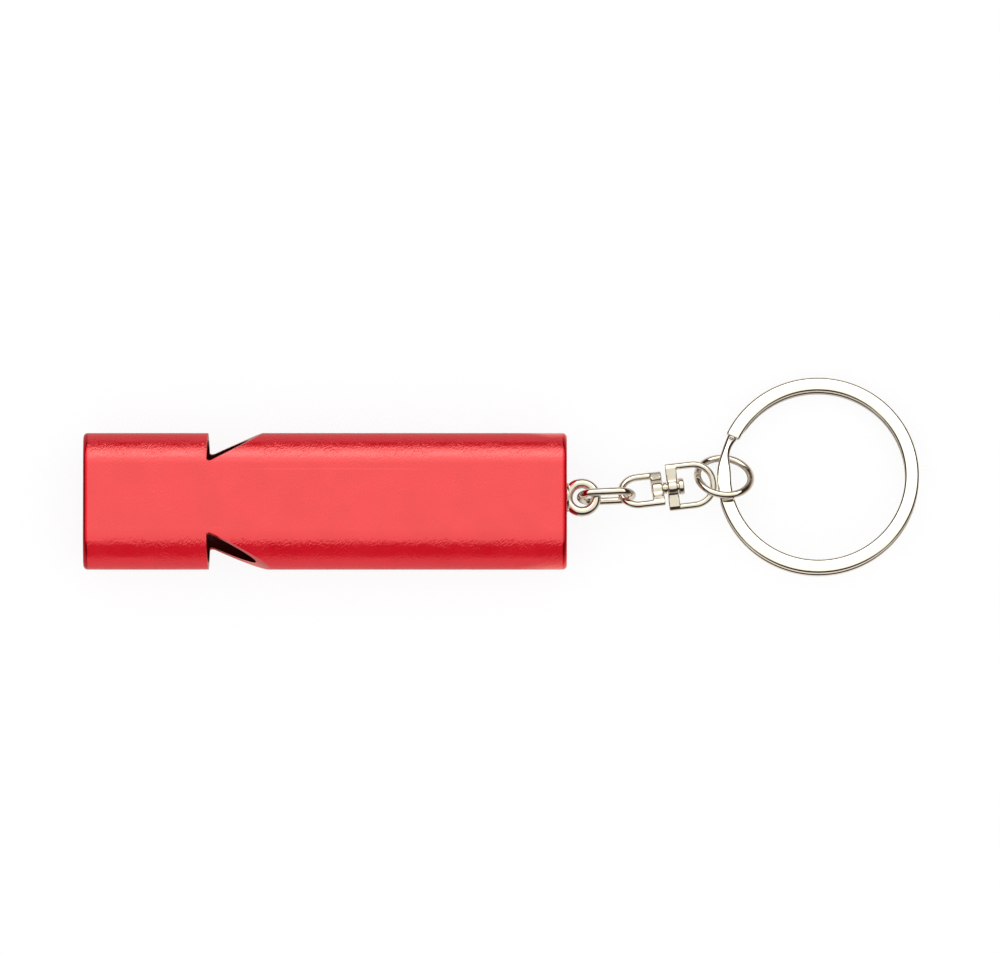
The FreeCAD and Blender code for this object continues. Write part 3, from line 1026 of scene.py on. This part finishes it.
@dataclass
class Swivel:
    """Two loops that turn on one rivet."""

    plate: Material
    small: SwivelLoop
    large: SwivelLoop
    bar_gap: float = 0.5
    small_turn: float = 29.0
    shank_diameter: float = 1.1
    collar_diameter: float = 1.5
    collar_fit: float = 0.06
    collar_round: float = 0.06
    tail_flat: float = 0.2
    tail_round: float = 0.1
    head_diameter: float = 2.1
    head_thickness: float = 0.7
    head_round: float = 0.2
    head_flat: float = 0.3
    head_clearance: float = 0.05

    def build_rivet(self) -> BMesh:
        """The rivet, with X = 0 at the large bar's outer face.

        Returns:
            The closed mesh.
        """
        shank = self.shank_diameter / 2
        collar = self.collar_diameter / 2
        head = self.head_diameter / 2
        small_end = -self.bar_gap - self.small.bar_thickness
        under = self.large.bar_thickness + self.head_clearance
        top = under + self.head_thickness
        start = -self.bar_gap + self.collar_fit
        end = -self.collar_fit
        return lathe(
            [(small_end, 0)]
            + rounded([(small_end, self.tail_flat), (small_end, shank), (start, shank)],
                      self.tail_round, segments=3)
            + rounded([(start, shank), (start, collar), (end, collar), (end, shank)],
                      self.collar_round, segments=3)
            + rounded([(under, shank), (under, head), (top, head), (top, self.head_flat)],
                      self.head_round, segments=5)
            + [(top, 0)], LATHE_STEPS)

    def dress(self) -> None:
        """Sets down both loops and the rivet."""
        along = joint_axis("swivel_spin")
        face = joint_point("swivel_spin")
        across = joint_axis("jump_ring_swing")
        level = Z_AXIS.cross(Vector((along.x, along.y, 0))).normalized()
        small_across = turned(level, along, -self.small_turn)
        small_face = face - along * self.bar_gap * MM
        large_seat = seat(face, along, across)
        Piece("swivel_bow_small", Body.SMALL_LOOP, Slot.NICKEL, ("swivel_small_loop",)).set_down(
            self.small.build(), seat(small_face, -along, -small_across), (self.plate,))
        Piece("swivel_bow_large", Body.LARGE_LOOP, Slot.NICKEL, ("swivel_large_loop",)).set_down(
            self.large.build(), large_seat, (self.plate,))
        Piece("rivet", Body.SMALL_LOOP, Slot.NICKEL, ("swivel_rivet",)).set_down(
            self.build_rivet(), large_seat, (self.plate,))


@dataclass
class JumpRing:
    """The round-wire ring with its butt joint."""

    plate: Material
    wire: float = 0.9
    mean_radius: float = 3.41
    yaw: float = -9.0
    tilt: float = 39.5
    seam_gap: float = 0.06
    seam_angle: float = 172.0
    seam_round: float = 0.04
    turn_steps: int = 120

    def build(self) -> BMesh:
        """The ring about its own middle.

        Returns:
            The closed mesh.
        """
        gap = math.degrees(self.seam_gap / self.mean_radius)
        wire = Sweep(wire_section(self.wire, Vector((0, self.mean_radius, 0))))
        wire.bend(Vector(), Z_AXIS, 360 - gap, self.turn_steps)
        bm = wire.cap(self.seam_round, segments=2)
        turn = math.radians(self.seam_angle + gap / 2 - 90)
        bmesh.ops.rotate(bm, cent=(0, 0, 0), matrix=Matrix.Rotation(turn, 3, Z_AXIS), verts=bm.verts[:])
        return bm

    def dress(self) -> None:
        """Sets the ring down in the middle of its box."""
        low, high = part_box("jump_ring")
        along = turned(X_AXIS, Z_AXIS, self.yaw)
        across = turned(turned(along, Z_AXIS, -90), along, -self.tilt)
        Piece("jump_ring_wire", Body.JUMP_RING, Slot.NICKEL, ("jump_ring",)).set_down(
            self.build(), seat((low + high) / 2, along, across), (self.plate,))


@dataclass
class SplitRing:
    """The key ring: one flat wire in two turns, with a step between them."""

    plate: Material
    diameter: float = 25.6
    wire_width: float = 1.75
    wire_thickness: float = 0.85
    turn_gap: float = 0.42
    end_angle: float = 155.0
    step_angle: float = 191.0
    step_sweep: float = 38.0
    tail_angle: float = 193.5
    neck_width: float = 0.95
    neck_angle: float = 161.0
    neck_reach: float = 18.0
    neck_outer_share: float = 0.2
    form_sweep: float = 48.0
    form_stride: float = 0.75
    facet: float = 0.22
    neck_facet: float = 0.12
    facet_lean: float = 32.0
    corner_round: float = 0.03
    corner_steps: int = 2
    end_round: float = 0.16
    end_steps: int = 5
    turn_stride: float = 1.5

    def section(self, width: float, inset: float) -> list[Vector]:
        """The corners of the wire's flat section, its edges broken by narrow facets.

        Args:
            width: the wire's width there.
            inset: how much smaller it is on every side.

        Returns:
            The corners across X and Z.
        """
        wide = width / 2 - inset
        high = self.wire_thickness / 2 - inset
        facet = self.facet + (self.wire_width - width) * self.neck_facet
        drop = facet * math.tan(math.radians(self.facet_lean))
        upper = [(wide, high - drop), (wide - facet, high), (facet - wide, high), (-wide, high - drop)]
        lower = [(x, -z) for x, z in reversed(upper)]
        points = rounded([(wide, 0)] + upper + lower + [(wide, 0)], self.corner_round, self.corner_steps)[1:]
        return [Vector((x, 0, z)) for x, z in points]

    def station(self, angle: float, inset: float) -> list[Vector]:
        """The wire's section at an angle counted down along the wire.

        Args:
            angle: the angle in degrees.
            inset: how much smaller it is on every side.

        Returns:
            The section's corners in their place.
        """
        share = min(max((self.step_angle - angle) / self.step_sweep, 0), 1)
        aside = min(abs(angle - self.neck_angle) / self.neck_reach, 1)
        neck = (self.wire_width - self.neck_width) * math.cos(math.pi / 2 * aside) ** 2
        width = self.wire_width - neck
        middle = self.diameter / 2 - neck * self.neck_outer_share - width / 2
        pitch = self.wire_thickness + self.turn_gap
        height = pitch / 2 - pitch * share * share * (3 - 2 * share)
        place = Matrix.Rotation(math.radians(angle), 4, Z_AXIS) @ Matrix.Translation((middle, 0, height))
        return [place @ point for point in self.section(width, inset)]

    def stations(self) -> list[Pair]:
        """Places the wire's sections from the upper end down, closer together in the step.

        Returns:
            Each section's angle and inset.
        """
        reach = math.degrees(self.end_round / (self.diameter - self.wire_width) * 2)
        top = self.end_angle + 360 - reach
        foot = self.tail_angle - 360 + reach
        marks = (top, self.step_angle, self.step_angle - self.form_sweep, foot)
        strides = (self.turn_stride, self.form_stride, self.turn_stride)
        found = [(marks[0], 0.0)]
        for start, end, stride in zip(marks, marks[1:], strides):
            count = round((start - end) / stride)
            found += [(start + (end - start) * (index + 1) / count, 0.0) for index in range(count)]
        for index in range(self.end_steps):
            turn = math.pi / 2 * (index + 1) / self.end_steps
            inset = self.end_round * (1 - math.cos(turn))
            found.insert(0, (top + reach * math.sin(turn), inset))
            found.append((foot - reach * math.sin(turn), inset))
        return found

    def build(self) -> BMesh:
        """The ring about its own middle, its wire followed from the upper end down to the lower one.

        Returns:
            The closed mesh.
        """
        first, *others = self.stations()
        wire = Sweep(self.station(*first))
        for place in others:
            wire.reshape(self.station(*place))
        return wire.cap(0)

    def dress(self) -> None:
        """Sets the ring down about its own axis."""
        normal = joint_axis("key_ring_turn")
        place = seat(joint_point("key_ring_turn"), X_AXIS, normal.cross(X_AXIS))
        Piece("key_ring_wire", Body.KEY_RING, Slot.STEEL, ("split_ring",)).set_down(
            self.build(), place, (self.plate,), sharp=45)


@dataclass
class Studio:
    """The pale floor, the soft light round the object and the camera above it."""

    floor_size: float = 6.0
    floor_drop: float = 0.00003
    # The floor's colours in the metal and their painted shade.
    floor_near: Triple = (0.86, 0.79, 0.69)
    floor_far: Triple = (0.4, 0.375, 0.35)
    floor_fall: Pair = (0.0025, 0.006)
    floor_shade: Triple = (0.14, 0.1, 0.075)
    shade_reach: float = 0.006
    shade_share: Pair = (0.42, 0.68)
    open_floor: Pair = (0.002, 0.006)
    open_fall: float = 0.3
    floor_glow: float = 0.88
    pitch: float = 8.0
    distance: float = 3.0
    sensor: float = 36.0
    pixel: float = 0.127
    image_width: int = 1000
    centre_x: float = -0.165
    centre_y: float = 0.28
    front_light: float = 0.42
    plain_light: tuple[Pair, ...] = ((0.0, 0.24), (0.5, 0.29), (0.75, 0.4), (1.0, 0.5))
    box_level: float = 2.5
    box_span: float = 4.0
    box_along: tuple[Pair, ...] = ((-1.25, 0.0), (-1.1, 1.0), (1.1, 1.0), (1.25, 0.0))
    box_across: tuple[Pair, ...] = (
        (-0.78, 0.0), (-0.63, 0.34), (-0.2, 0.4), (0.14, 0.44), (0.32, 0.52), (0.6, 0.7), (0.8, 1.05),
        (1.0, 1.1), (1.3, 0.76), (2.0, 0.45), (2.35, 0.3), (2.8, 0.2), (3.3, 0.05), (3.7, 0.0))
    box_tint: Triple = (1.0, 0.98, 0.85)
    box_foot: float = 0.02
    room: tuple[tuple[float, Triple], ...] = (
        (0.0, (0.055, 0.04, 0.03)), (0.15, (0.035, 0.024, 0.017)), (0.3, (0.018, 0.011, 0.008)),
        (0.75, (0.018, 0.011, 0.008)), (0.85, (0.0, 0.0, 0.0)))
    clip: Pair = (0.01, 20.0)

    def lay_floor(self) -> None:
        """Lays the floor: clear to the camera but for the object's shadow; in the metal it glows, with
        painted shade that darkens it further off and beside the body, and a painted shadow under cover.
        """
        bm = bmesh.new()
        bmesh.ops.create_grid(bm, x_segments=1, y_segments=1, size=self.floor_size / 2)
        floor = stood_up(bm, "floor")
        floor.location.z = -self.floor_drop
        material, canvas = new_material("floor_paper")
        path = canvas.add("ShaderNodeLightPath")
        where = canvas.add("ShaderNodeSeparateXYZ", Vector=canvas.place())
        # Painted shade in the metal: the floor darkens with ray length, sooner beside the body.
        shade = canvas.spread(where.outputs["X"], 1, self.open_fall, *self.open_floor)
        fall = canvas.spread(canvas.product(path.outputs["Ray Length"], shade), 0, 1, *self.floor_fall)
        # Painted shadow in the metal: the floor turns to its shade colour where ambient occlusion finds
        # cover.
        lit = canvas.add("ShaderNodeAmbientOcclusion", {"samples": 8}, Distance=self.shade_reach)
        clear = canvas.spread(lit.outputs["AO"], 0, 1, *self.shade_share)
        in_metal = canvas.mix(fall, (*self.floor_near, 1), (*self.floor_far, 1))
        in_metal = canvas.mix(clear, (*self.floor_shade, 1), in_metal)
        diffuse = canvas.add("ShaderNodeBsdfDiffuse", Color=(1, 1, 1, 1)).outputs[0]
        glow = canvas.add("ShaderNodeEmission", Color=in_metal, Strength=1.0).outputs[0]
        clear_view = canvas.add("ShaderNodeBsdfTransparent", Color=(1, 1, 1, 1)).outputs[0]
        seen = canvas.spread(path.outputs["Is Camera Ray"], 0, self.floor_glow, 0, 1)
        below = canvas.add("ShaderNodeNewGeometry").outputs["Backfacing"]
        surface = canvas.blend(seen, diffuse, clear_view)
        surface = canvas.blend(path.outputs["Is Glossy Ray"], surface, glow)
        surface = canvas.blend(below, surface, clear_view)
        canvas.add("ShaderNodeOutputMaterial", Surface=surface)
        floor.data.materials.append(material)

    def hang_light(self) -> None:
        """Makes plain light from all round, in which the metal shows one long soft box in a dim room."""
        world = bpy.data.worlds.new("studio")
        bpy.context.scene.world = world
        world.use_nodes = True
        canvas = Canvas(world.node_tree)
        direction = canvas.add("ShaderNodeTexCoord").outputs["Generated"]
        parts = canvas.add("ShaderNodeSeparateXYZ", Vector=direction)
        height = canvas.calculate("MAXIMUM", parts.outputs["Z"], self.box_foot)
        span = self.box_span
        reach = [canvas.spread(canvas.calculate("DIVIDE", parts.outputs[axis], height), 0, 1, -span, span)
                 for axis in "XY"]
        along = canvas.ramp(reach[0], [(self.box_place(x), [level * tint for tint in self.box_tint])
                                       for x, level in self.box_along])
        across = canvas.ramp(reach[1], [(self.box_place(y), (level,) * 3) for y, level in self.box_across])
        box = canvas.mix(1.0, along, across, "MULTIPLY")
        room = canvas.ramp(parts.outputs["Z"], self.room)
        seen_in_metal = canvas.mix(1.0, box, room, "ADD")
        toward = canvas.feed(canvas.add("ShaderNodeVectorMath", {"operation": "DOT_PRODUCT"}),
                             {0: direction, 1: (0, -self.front_light, 1)})
        plain = canvas.ramp(canvas.spread(toward.outputs["Value"], 0, 1, -1, 1),
                            [(place, (level,) * 3) for place, level in self.plain_light])
        path = canvas.add("ShaderNodeLightPath")
        glow = canvas.mix(path.outputs["Is Glossy Ray"], plain, seen_in_metal)
        lit = canvas.add("ShaderNodeBackground", Color=glow, Strength=self.box_level).outputs[0]
        white = canvas.add("ShaderNodeBackground", Color=(1, 1, 1, 1), Strength=1.0).outputs[0]
        canvas.add("ShaderNodeOutputWorld", Surface=canvas.blend(path.outputs["Is Camera Ray"], lit, white))

    def box_place(self, reach: float) -> float:
        """A ramp's place for a reach over the height of the soft box."""
        return (reach + self.box_span) / (2 * self.box_span)

    def set_camera(self) -> None:
        """Sets the long-lensed camera nearly straight above."""
        data = bpy.data.cameras.new("camera")
        data.sensor_width = self.sensor
        data.lens = self.sensor * self.distance / (self.pixel * MM * self.image_width)
        data.clip_start, data.clip_end = self.clip
        camera = bpy.data.objects.new("camera", data)
        bpy.context.scene.collection.objects.link(camera)
        pitch = math.radians(self.pitch)
        target = Vector((self.centre_x * MM, self.centre_y * MM / math.cos(pitch), 0))
        back = Vector((0, -math.sin(pitch), math.cos(pitch)))
        camera.location = target + back * self.distance
        camera.rotation_mode = "QUATERNION"
        camera.rotation_quaternion = (-back).to_track_quat("-Z", "Y")
        bpy.context.scene.camera = camera
        bpy.context.scene.view_settings.view_transform = "Standard"


def main() -> None:
    """Builds and dresses every sub-assembly, then lights it."""
    logging.basicConfig(level=logging.INFO, format="%(name)s %(message)s")
    finishes = {
        Skin.BLASTED: AnodisedRed().material(),
        Skin.TURNED: AnodisedRed(name="turned_red", metallic=0.85, roughness=0.2, grain_depth=0.000005,
                                 stretch=(8, 1, 1), turn=0).material(),
        Skin.MILLED: AnodisedRed(name="milled_red", metallic=0.5, roughness=0.2, grain_depth=0.00001,
                                 stretch=(1, 1, 0.1), turn=0).material(),
        # The bores' red darkened to near black: painted shade.
        Skin.BORED: AnodisedRed(name="bored_red_painted_shade", deep=(0.08, 0.0005, 0.001), light=(0.11, 0.001, 0.002),
                                metallic=0.4, roughness=0.3, grain_depth=0.000008,
                                stretch=(8, 1, 1), turn=0).material(),
        # The window rims' near-white colour: a painted highlight.
        Skin.RIM: AnodisedRed(name="rim_painted_highlight", deep=(0.9, 0.72, 0.68), light=(0.95, 0.85, 0.8),
                              metallic=0.2, roughness=0.35, grain_depth=0.000003).material(),
    }
    nickel = Plating().material()
    steel = Plating(name="spring_steel_plate", tint=(0.95, 0.93, 0.9), dull=(0.9, 0.87, 0.83),
                    roughness=0.06, ripple_depth=0.000008).material()
    Whistle(finishes).dress()
    ScrewEye(nickel).dress()
    OvalLink(nickel).dress()
    small = SwivelLoop(wire=0.9, width=5.25, length=5.8, bar_thickness=1.5)
    large = SwivelLoop(wire=0.85, width=6.0, length=6.35, bar_thickness=1.4)
    Swivel(nickel, small, large).dress()
    JumpRing(nickel).dress()
    SplitRing(steel).dress()
    studio = Studio()
    studio.lay_floor()
    studio.hang_light()
    studio.set_camera()


if __name__ == "__main__":
    main()
